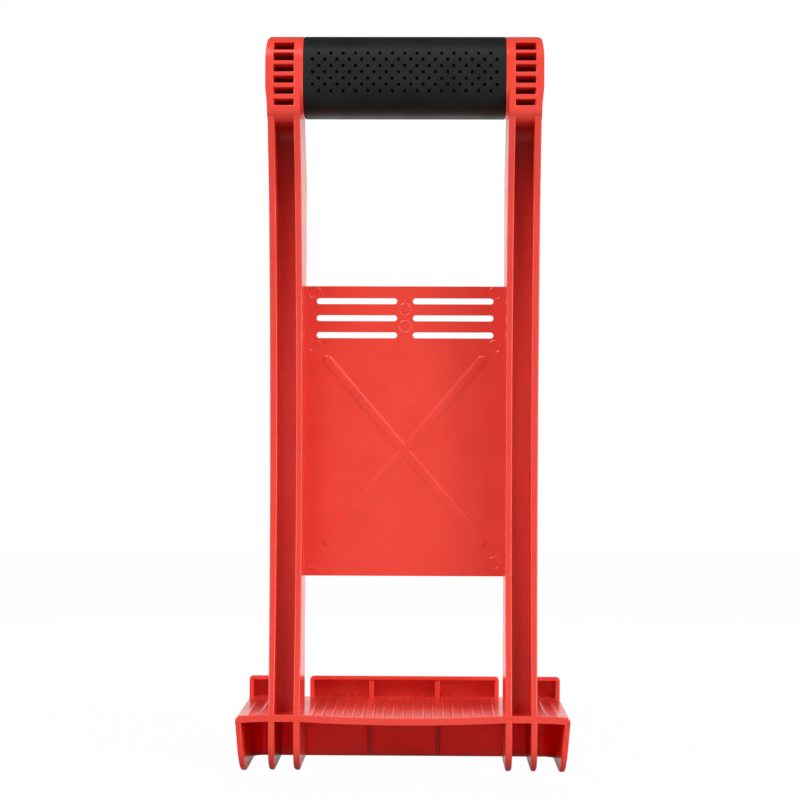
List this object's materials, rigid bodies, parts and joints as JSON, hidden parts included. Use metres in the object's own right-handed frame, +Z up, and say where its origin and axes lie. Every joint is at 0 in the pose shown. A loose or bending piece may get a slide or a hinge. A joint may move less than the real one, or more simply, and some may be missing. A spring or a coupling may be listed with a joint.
{
  "type": "panel carrier",
  "caption": "Upright hand carrier for boards and sheets: a soft-gripped bar on channel uprights, with a tie panel and a ribbed foot shelf that ends in an upturned lip.",
  "frame": {"origin": "centre of the bounding box in plan, at the floor under the foot", "axes": "+Z up along the uprights, +Y back from the user towards the board and the lip, +X to the user's right"},
  "size_m": [0.165, 0.101, 0.362],
  "materials": {
    "red_frame": "satin moulded",
    "black_grip": "matte soft-touch, dimpled"
  },
  "bodies": {
    "root": {"grip_sleeve": "black_grip", "handle_core": "red_frame", "left_handle_block": "red_frame", "right_handle_block": "red_frame", "left_outer_flange": "red_frame", "left_web": "red_frame", "left_inner_flange": "red_frame", "right_inner_flange": "red_frame", "right_web": "red_frame", "right_outer_flange": "red_frame", "centre_panel": "red_frame", "foot_shelf": "red_frame", "left_lip": "red_frame", "centre_lip": "red_frame", "right_lip": "red_frame", "foot_back_wall": "red_frame", "left_back_corner": "red_frame", "right_back_corner": "red_frame", "left_side_wall": "red_frame", "right_side_wall": "red_frame", "left_outer_fin": "red_frame", "left_inner_fin": "red_frame", "right_inner_fin": "red_frame", "right_outer_fin": "red_frame"}
  },
  "joints": []
}
